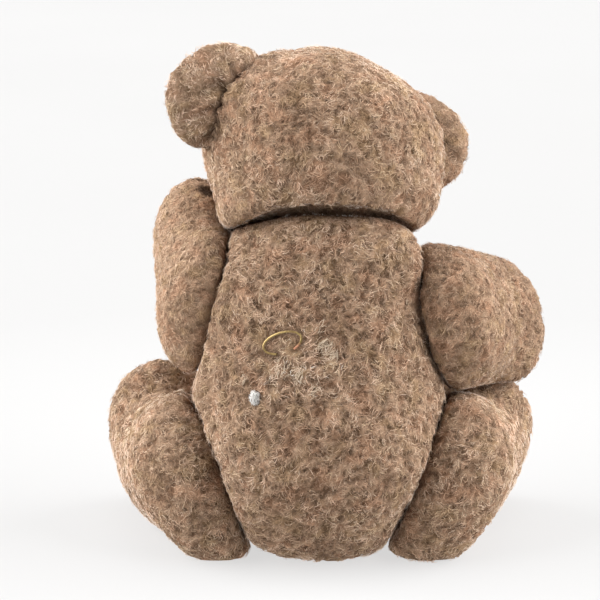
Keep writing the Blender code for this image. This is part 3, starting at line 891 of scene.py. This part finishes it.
def special_relief(node, points, normals):
    """The folds of an ear or the dip across an instep, and how open each point stays to light."""
    height, openness = np.zeros(len(points)), np.ones(len(points))
    if node.startswith("ear"):
        angles, root = fan_angles(node, points)
        closeness, fold_height = EAR_FOLDS[node]
        from_root = np.linalg.norm(points - root, axis=1)
        before_rim = np.clip((EAR_RIM - from_root) / EAR_RIM_FADE, EAR_RIM_SHARE, 1)
        wander = FOLD_WANDER * field(points, FOLD_WANDER_SIZE, 8)
        folds = np.sin(closeness * (angles + wander)) * before_rim
        height += fold_height * folds
        openness -= FOLD_SHADE * np.clip(-folds, 0, 1)
    if node.startswith("leg"):
        low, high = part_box(node)
        instep = high.y + (low.y - high.y) * INSTEP_PLACE
        dip = np.exp(-(((points[:, 1] - instep) / INSTEP_REACH) ** 2))
        height -= INSTEP_DIP * dip * np.clip(normals[:, 2], 0, 1)
    return height, openness


def wear_at(node, points):
    """How much paler, or darker, the pile is where it is worn or soiled."""
    change = np.zeros(len(points))
    for worn, shares, radius, amount in WEAR:
        if worn == node:
            change += amount * np.exp(-((from_place(node, shares, points) / radius) ** 4))
    return change


def cleanness_at(node, points):
    """1 on clean pile, and less where it is soiled, down to SOILED_LIGHT."""
    return 1 + np.clip(wear_at(node, points), SOILED_LIGHT - 1, 0)


def pieces_apart(node):
    """The stuffed pieces that ride on other bodies than this one does."""
    return [name for name in PLUSH_PIECES if body_of[name] != body_of[node]]


def add_bulges(node, mesh, others, trims):
    """Fills the skin out where the stuffing is fuller than the solid."""
    points = vertex_array(mesh)
    normals = vertex_array(mesh, "normal")
    height = np.zeros(len(points))
    for *shares, radius, rise in BULGES[node]:
        height += rise * MM * np.exp(-((from_place(node, shares, points) / (radius * MM)) ** 2))
    height = np.minimum(height, BULGE_ROOM * distances(others, points, BULGE_REACH))
    to_trim = np.maximum(distances(trims, points, BULGE_REACH) - BULGE_TRIM_GAP, 0)
    height = np.minimum(height, BULGE_TRIM_ROOM * to_trim)
    points += normals * height[:, None]
    points[:, 2] = np.maximum(points[:, 2], 0)
    move_vertices(mesh, points)


def openness_at(node, points, room, to_trim):
    """How open the pile is to light: least in the neck's crease, and less beside trim."""
    least = beside_discs(points, body_of[node])[3]
    if node.startswith("ear"):
        low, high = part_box(node)
        from_middle = np.abs(2 * (points[:, 2] - low.z) / (high.z - low.z) - 1)
        least = EAR_CREASE_LIGHT * np.clip((from_middle - EAR_CREASE_HALF) / EAR_CREASE_FADE, 0, 1)
    beside_others = np.maximum(np.clip(room / PRESS_REACH, 0, 1), least)
    past_trim = np.clip(to_trim / TRIM_SHADE_REACH, 0, 1)
    return beside_others * (TRIM_LIGHT + (1 - TRIM_LIGHT) * past_trim)


def raise_relief(node, mesh, others, trims):
    """Lifts the skin into woolly clumps, except where pressed; returns the form's normals."""
    points = vertex_array(mesh)
    normals = vertex_array(mesh, "normal")
    woolly = woolly_height(points)
    room = distances(others, points, CREASE_REACH)
    to_trim = distances(trims, points, TRIM_REACH)
    special, lit = special_relief(node, points, normals)
    height = PILE_LIFT + RELIEF_HEIGHT * woolly * (EAR_RELIEF if node.startswith("ear") else 1)
    height = np.minimum(height, RELIEF_ROOM * room)
    height = np.minimum(height, RELIEF_TRIM_ROOM * np.maximum(to_trim - RELIEF_TRIM_GAP, 0))
    height = np.minimum(height, np.maximum(points[:, 2], 0))
    height += special * np.clip(room / CREASE_REACH, 0, 1)
    move_vertices(mesh, points + normals * height[:, None])
    pile = np.ones((len(points), 4))
    # Channel 0 paints shade into the pits: the lower the pile, the darker.
    pile[:, 0] = 1 - PLUSH_PIECES[node]["contrast"] * (1 - woolly)
    # Channel 1 paints shade into creases, fold valleys and the edges of trim, and takes in real
    # soiling.
    pile[:, 1] = openness_at(node, points, room, to_trim) * lit * cleanness_at(node, points)
    pile[:, 2] = hues(points)
    add_attribute(mesh, "pile", pile)
    mesh.shade_smooth()
    shading = unit(normals + FINE_SHADING * vertex_array(mesh, "normal"))
    mesh.normals_split_custom_set_from_vertices(shading)
    return normals


def hues(points):
    """Patches of rust, from 1, and straw, to 0."""
    patches = 0.5 + 0.9 * field(points, HUE_PATCH, 9)
    return np.clip(patches + 0.5 * field(points, HUE_FLECK, 10), 0, 1)


# ---------------------------------------------------------------- wool


def scatter(mesh, form, density, rng):
    """Random places on a mesh, its normals and its form's there, at a density per square mm."""
    points = vertex_array(mesh)
    normals = vertex_array(mesh, "normal")
    triangles = triangle_array(mesh)
    a, b, c = (points[triangles[:, k]] for k in range(3))
    areas = np.linalg.norm(np.cross(b - a, c - a), axis=1) / 2
    count = int(areas.sum() / MM**2 * density)
    chosen = rng.choice(len(triangles), size=count, p=areas / areas.sum())
    u, v = rng.random((2, count, 1))
    flipped = u + v > 1
    u, v = np.where(flipped, 1 - u, u), np.where(flipped, 1 - v, v)
    shares = (1 - u - v, u, v)
    corners = triangles[chosen]
    roots = sum(share * points[corners[:, k]] for k, share in enumerate(shares))
    outward = unit(sum(share * normals[corners[:, k]] for k, share in enumerate(shares)))
    facing = unit(sum(share * form[corners[:, k]] for k, share in enumerate(shares)))
    return roots, outward, facing


def curl_paths(roots, normals, combs, lengths, lifts, bends, steps):
    """The middle line of each strand: it rises from its root, curls over and lies down."""
    sideways = np.cross(normals, combs)
    path = [roots]
    for k in range(steps):
        share = (k + 0.5) / steps
        turn = bends * (share - 0.3)
        rise = lifts * (1 - 1.7 * share)
        level = combs * np.cos(turn)[:, None] + sideways * np.sin(turn)[:, None]
        step = level * np.cos(rise)[:, None] + normals * np.sin(rise)[:, None]
        path.append(path[-1] + step * (lengths / steps)[:, None])
    return np.stack(path, 1)


def strand_faces(steps):
    """The four-sided faces of one strand, and the three-sided ones at its tip."""
    quads = [(at, at + 1, at + 4, at + 3) for k in range(steps - 1) for at in (3 * k, 3 * k + 1)]
    last = 3 * steps - 3
    return quads, [(last, last + 1, last + 3), (last + 1, last + 2, last + 3)]


def repeated_mesh(name, points, quads, triangles):
    """A mesh of many strands, each with a row of the points and with the same faces."""
    count, per_strand = points.shape[:2]
    starts = np.arange(count)[:, None] * per_strand
    corners = np.concatenate([starts + np.array(face) for face in quads + triangles], 1)
    sizes = np.tile([4] * len(quads) + [3] * len(triangles), count)
    mesh = bpy.data.meshes.new(name)
    mesh.vertices.add(count * per_strand)
    mesh.vertices.foreach_set("co", points.ravel())
    mesh.loops.add(corners.size)
    mesh.loops.foreach_set("vertex_index", corners.ravel())
    mesh.polygons.add(len(sizes))
    mesh.polygons.foreach_set("loop_start", np.concatenate(([0], np.cumsum(sizes)[:-1])))
    mesh.polygons.foreach_set("use_smooth", np.ones(len(sizes), dtype=bool))
    mesh.update(calc_edges=True)
    return mesh


def with_tips(rings, tips):
    """Three vectors at each step of each strand and one at its tip, in its vertices' order."""
    steps = rings[0].shape[1]
    return np.concatenate((np.stack(rings, 2).reshape(len(tips), steps * 3, 3), tips), 1)


def strand_mesh(name, paths, normals, shading, widths, fibre):
    """Tapered strands along the paths, each a narrow roof with its ridge outward, as one mesh."""
    rows = paths.shape[1]
    along = np.linspace(0, 1, rows)[:-1]
    tangents = unit(np.gradient(paths, axis=1))
    sides = unit(np.cross(tangents, normals[:, None, :]))
    ridges = np.cross(sides, tangents)
    taper = (1 - STRAND_TAPER * along**2)[None, :, None]
    half = sides[:, :-1] * widths[:, None, None] * 0.5 * taper
    proud = ridges[:, :-1] * widths[:, None, None] * RIDGE_HEIGHT * taper
    middles = paths[:, :-1]
    points = with_tips((middles - half, middles + proud, middles + half), paths[:, -1:])
    mesh = repeated_mesh(name, points, *strand_faces(rows - 1))
    along = np.append(np.repeat(along, 3), 1.0)
    colours = np.ones((*points.shape[:2], 4))
    colours[:, :, 0] = fibre[:, 0, None]
    colours[:, :, 1] = 1 - fibre[:, 3, None] * (1 - along[None, :])
    colours[:, :, 2] = fibre[:, 1, None]
    colours[:, :, 3] = fibre[:, 2, None]
    add_attribute(mesh, "fibre", colours)
    outward = unit(shading[:, None, :] + STRAND_OWN_NORMAL * ridges)
    aslant = STRAND_ROUNDNESS * sides
    rings = [facing[:, :-1] for facing in (outward - aslant, outward, outward + aslant)]
    facing = unit(with_tips(rings, outward[:, -1:]))
    mesh.normals_split_custom_set_from_vertices(facing.reshape(-1, 3))
    return mesh


def away_from(others, roots, normals):
    """Along the skin, the way out of the crease with the nearest other piece."""
    outward = np.zeros(roots.shape)
    for number, root in enumerate(roots.tolist()):
        nearest = others.find_nearest(Vector(root), CREASE_REACH)[0]
        if nearest is not None:
            outward[number] = Vector(root) - nearest
    return across(outward + 1e-9, normals)


def comb_directions(node, roots, normals):
    """Which way the pile lies: swirls, and down the sides or out along an ear."""
    swirls = vector_field(roots, SWIRL_SIZE, 3)
    swirls += SMALL_SWIRL_SHARE * vector_field(roots, SMALL_SWIRL_SIZE, 4)
    weight = PLUSH_PIECES[node]["comb"] + SIDE_COMB * normals[:, :1] ** 2
    pull = np.array([[0.0, 0.0, -1.0]])
    if node.startswith("ear"):
        pull = unit(roots - fan_angles(node, roots)[1])
        weight += EAR_COMB
    return across(unit(swirls) + pull * weight, normals)


def strand_paths(node, layer, roots, normals, room, to_trim, others, rng):
    """The strands' middle lines, combed as the pile lies and shorter where they are pressed."""
    count = len(roots)
    combs = comb_directions(node, roots, normals)
    angles = rng.normal(0, COMB_SPREAD, count)
    combs = combs * np.cos(angles)[:, None] + np.cross(normals, combs) * np.sin(angles)[:, None]
    pressed = np.clip(1 - room / PRESS_REACH, 0, 1)
    outward = away_from(others, roots, normals)
    combs = across(combs + PRESS_COMB * pressed[:, None] * outward, normals)
    lengths = layer["length"] * PLUSH_PIECES[node]["length"] * MM * rng.uniform(*LENGTH_RANGE, count)
    beside_trim = np.minimum((to_trim + TRIM_SHORT_REACH) / (2 * TRIM_SHORT_REACH), 1)
    lengths *= beside_trim * (1 - PRESS_SHORTENING * pressed)
    lifts = np.radians(layer["lift"]) * rng.uniform(*LIFT_RANGE, count)
    lifts[rng.random(count) < STRAY_ODDS] *= STRAY_LIFT
    lifts += PRESS_LIFT * pressed
    curls = CURL_ALIKE * field(roots, CURL_PATCH, 5) + rng.normal(0, CURL_SPREAD, count)
    starts = roots - normals * ROOT_DEPTH * MM
    paths = curl_paths(starts, normals, combs, lengths, lifts, layer["curl"] * curls, layer["steps"])
    paths[:, :, 2] = np.maximum(paths[:, :, 2], STRAND_CLEAR_OF_FLOOR)
    return paths


def touches(trims, path):
    """Whether a strand comes too near to trim."""
    nearest = (trims.find_nearest(Vector(place), STRAND_CLEAR_OF_TRIM)[0] for place in path)
    return any(place is not None for place in nearest)


def strand_looks(node, layer, roots, facing, woolly, room, to_trim, rng):
    """For each strand its tone from dark to pale, its hue, its light and how its tones differ."""
    count = len(roots)
    piece = PLUSH_PIECES[node]
    patch = 0.5 + piece["tone"] + TONE_PATCH_SHARE * field(roots, TONE_PATCH, 6)
    # Strands lower in the pile are painted darker, as shade in its pits, and higher ones paler.
    patch += piece["contrast"] * (layer["tone"] + (woolly - MIDDLE_PILE))
    wear = wear_at(node, roots)
    own = rng.normal(0, TONE_SPREAD * piece["contrast"], count)
    tone = np.clip(patch + wear + own, 0, 1)
    tone += (rng.random(count) < BARE_ODDS * np.clip(wear, 0, 1)) * BARE_TONE
    hue = np.clip(hues(roots) + rng.normal(0, HUE_SPREAD, count), 0, 1)
    # Painted shade in creases, fold valleys and beside trim, with real soiling.
    openness = openness_at(node, roots, room, to_trim) * special_relief(node, roots, facing)[1]
    openness *= cleanness_at(node, roots)
    return np.stack((tone, hue, openness, np.full(count, piece["contrast"])), 1)


def grow_wool(node, layer, skin, form, others, trims, rng):
    """One layer of one piece's strands, sparser in its pits and none on its trim."""
    roots, normals, facing = scatter(skin, form, layer["density"], rng)
    woolly = woolly_height(roots - normals * (PILE_LIFT + 0.5 * RELIEF_HEIGHT))
    room = distances(others, roots, CREASE_REACH)
    to_trim = distances(trims, roots, TRIM_REACH)
    kept = rng.random(len(roots)) < PIT_ODDS + TUFT_ODDS * woolly
    kept &= (room > CLEAR_OF_OTHERS) & (to_trim > CLEAR_OF_TRIM)
    kept &= (roots[:, 2] > CLEAR_OF_FLOOR) | (normals[:, 2] > FACING_DOWN)
    roots, normals, facing = roots[kept], normals[kept], facing[kept]
    woolly, room, to_trim = woolly[kept], room[kept], to_trim[kept]
    paths = strand_paths(node, layer, roots, normals, room, to_trim, others, rng)
    near = zip(to_trim < TRIM_REACH, paths.tolist())
    free = ~np.array([beside and touches(trims, path) for beside, path in near], dtype=bool)
    paths, normals, facing = paths[free], normals[free], facing[free]
    roots, woolly, room, to_trim = roots[free], woolly[free], room[free], to_trim[free]
    widths = layer["width"] * MM * rng.uniform(*WIDTH_RANGE, len(paths))
    fibre = strand_looks(node, layer, roots, facing, woolly, room, to_trim, rng)
    return paths, normals, unit(facing + FINE_SHADING * normals), widths, fibre


def trims_on(body):
    """The cloth, buttons, thread and wire on the outside of a body's stuffed piece."""
    return [node for node in frame["nodes"] if slot_of[node] in TRIM_SLOTS and body_of[node] == body]


def dress_plush():
    """Covers every stuffed solid with its skin and its wool."""
    roots_material = wool_skin_material()
    pile_material = wool_material()
    skins = {node: fine_skin(node) for node in PLUSH_PIECES}
    trims_of = {}
    for node in PLUSH_PIECES:
        trims_of[node] = tree_of([frame["nodes"][trim].data for trim in trims_on(body_of[node])])
    for node in BULGES:
        others = tree_of([skins[name] for name in pieces_apart(node)])
        add_bulges(node, skins[node], others, trims_of[node])
    others_of = {}
    for node in PLUSH_PIECES:
        near = pieces_apart(node) + (["head"] if node.startswith("ear") else [])
        others_of[node] = tree_of([skins[name] for name in near])
    rng = np.random.default_rng(SEED)
    forms = {}
    for node, skin in skins.items():
        draw_in(node, skin, others_of[node])
        forms[node] = raise_relief(node, skin, others_of[node], trims_of[node])
        piece = add_piece(node + "_plush", skin, roots_material, body_of[node])
        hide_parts(node)
        for layer_name, layer in LAYERS.items():
            name = f"{node}_{layer_name}"
            grown = grow_wool(node, layer, skin, forms[node], others_of[node], trims_of[node], rng)
            add_piece(name, strand_mesh(name, *grown), pile_material, body_of[node])
    add_frayed_tuft(rng)
    add_wisps(skins["torso"], forms["torso"], rng)


def add_frayed_tuft(rng):
    """Frayed white ends that hide the tuft's knot."""
    material = thread_fibre_material("white_thread_fibres", WHITE_FIBRE)
    knot = frame["nodes"]["white_thread_tuft"].data
    roots, normals, _ = scatter(knot, vertex_array(knot, "normal"), TUFT_DENSITY, rng)
    upright = np.zeros(roots.shape)
    upright[:, 2] = np.where(rng.random(len(roots)) < TUFT_HANGING, -1, 1)
    combs = across(upright + rng.normal(0, TUFT_SPREAD, roots.shape), normals)
    lengths = rng.uniform(*TUFT_LENGTHS, len(roots)) * MM
    looks = (TUFT_WIDTH, material, "white_thread")
    add_threads("frayed_tuft", roots, normals, combs, lengths, looks, rng)


def add_wisps(skin, form, rng):
    """Pale wisps of loosened fibre, each combed one way, over the threadbare patch."""
    material = thread_fibre_material("loose_wool_fibres", LOOSE_WOOL)
    looks = (WISP_WIDTH, material, "wool_plush")
    low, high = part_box("torso")
    roots, normals, _ = scatter(skin, form, WISP_DENSITY, rng)
    for number, (across_share, up_share, radius, slant, length) in enumerate(WISPS):
        aside = roots[:, 0] - (low.x + (high.x - low.x) * across_share)
        above = roots[:, 2] - (low.z + (high.z - low.z) * up_share)
        edges = radius * rng.uniform(*WISP_EDGES, len(roots))
        near = (np.hypot(aside, above) < edges) & (normals[:, 1] > 0)
        slanting = np.array([[math.sin(slant), 0.0, math.cos(slant)]])
        combs = slanting + rng.normal(0, WISP_SPREAD, (near.sum(), 3))
        combs = across(combs, normals[near])
        lengths = length * rng.uniform(*WISP_LENGTHS, near.sum())
        add_threads(f"wisp_{number}", roots[near], normals[near], combs, lengths, looks, rng)


def add_threads(name, roots, normals, combs, lengths, looks, rng):
    """Wandering threads from these roots, as one piece on the torso's body; the looks are their
    width, material and slot, and the slot is not used."""
    width, material, slot = looks
    count = len(roots)
    lifts = rng.uniform(*THREAD_LIFTS, count)
    bends = rng.normal(0, THREAD_BENDS, count)
    starts = roots + normals * THREAD_START * MM
    paths = curl_paths(starts, normals, combs, lengths, lifts, bends, THREAD_STEPS)
    widths = width * rng.uniform(*WIDTH_RANGE, count)
    mesh = strand_mesh(name, paths, normals, normals, widths, np.ones((count, 4)))
    add_piece(name, mesh, material, body_of["torso"])


def dress_hardware():
    """Gives every solid that stays in view, or inside, its own finish."""
    finishes = {
        "pad_cloth": pad_material(),
        "boot_button": button_material(),
        "dark_thread": thread_material("dark_thread_finish", *DARK_THREAD, 1.2 * MM),
        "white_thread": thread_material("white_thread_finish", *WHITE_THREAD, 0.8 * MM),
        "brass": wire_material(),
        "steel": steel_material(),
        "hardboard": hardboard_material(),
    }
    for node, slot in slot_of.items():
        if slot in finishes:
            for material_slot in frame["nodes"][node].material_slots:
                material_slot.material = finishes[slot]


# ---------------------------------------------------------------- stage


def add_floor():
    """A round floor, far wider than what the camera sees."""
    mesh = bpy.data.meshes.new("floor")
    bm = bmesh.new()
    bmesh.ops.create_circle(bm, cap_ends=True, segments=FLOOR_SIDES, radius=FLOOR_RADIUS)
    bm.to_mesh(mesh)
    bm.free()
    mesh.materials.append(floor_material())
    floor = bpy.data.objects.new("floor", mesh)
    bpy.context.scene.collection.objects.link(floor)


def add_sun(name, direction, softness, strength):
    """Soft light from a direction, the same all over the floor."""
    light = bpy.data.lights.new(name, "SUN")
    light.angle = math.radians(softness)
    light.energy = strength
    obj = bpy.data.objects.new(name, light)
    obj.rotation_euler = (-Vector(direction)).to_track_quat("-Z", "Y").to_euler()
    bpy.context.scene.collection.objects.link(obj)


def add_camera(aim):
    """A long lens behind the bear, a little above it, that looks at the aim."""
    camera = bpy.data.cameras.new("camera")
    camera.lens = CAMERA_LENS
    obj = bpy.data.objects.new("camera", camera)
    back = Vector((0, math.cos(CAMERA_ELEVATION), math.sin(CAMERA_ELEVATION)))
    obj.location = aim + back * CAMERA_DISTANCE
    obj.rotation_euler = (-back).to_track_quat("-Z", "Y").to_euler()
    bpy.context.scene.collection.objects.link(obj)
    bpy.context.scene.camera = obj


def tent_world():
    """Pale all round like a light tent, but open and dim towards +Y, where the camera is."""
    world = bpy.data.worlds.new("light_tent")
    world.use_nodes = True
    nodes = world.node_tree.nodes
    links = world.node_tree.links
    split = nodes.new("ShaderNodeSeparateXYZ")
    links.new(nodes.new("ShaderNodeTexCoord").outputs["Generated"], split.inputs[0])
    strength = nodes.new("ShaderNodeMapRange")
    links.new(split.outputs["Y"], strength.inputs["Value"])
    strength.inputs["From Min"].default_value = -0.2
    strength.inputs["To Min"].default_value = TENT_BRIGHT
    strength.inputs["To Max"].default_value = TENT_DIM
    nodes["Background"].inputs["Color"].default_value = (1, 0.995, 0.99, 1)
    links.new(strength.outputs["Result"], nodes["Background"].inputs["Strength"])
    return world


def set_stage():
    """The floor, the camera and the light."""
    add_floor()
    add_camera((cad_low + cad_high) / 2 + CAMERA_AIM)
    for name, (direction, softness, strength) in SUNS.items():
        add_sun(name, direction, softness, strength)
    bpy.context.scene.world = tent_world()
    bpy.context.scene.view_settings.view_transform = "Standard"


dress_plush()
dress_hardware()
set_stage()
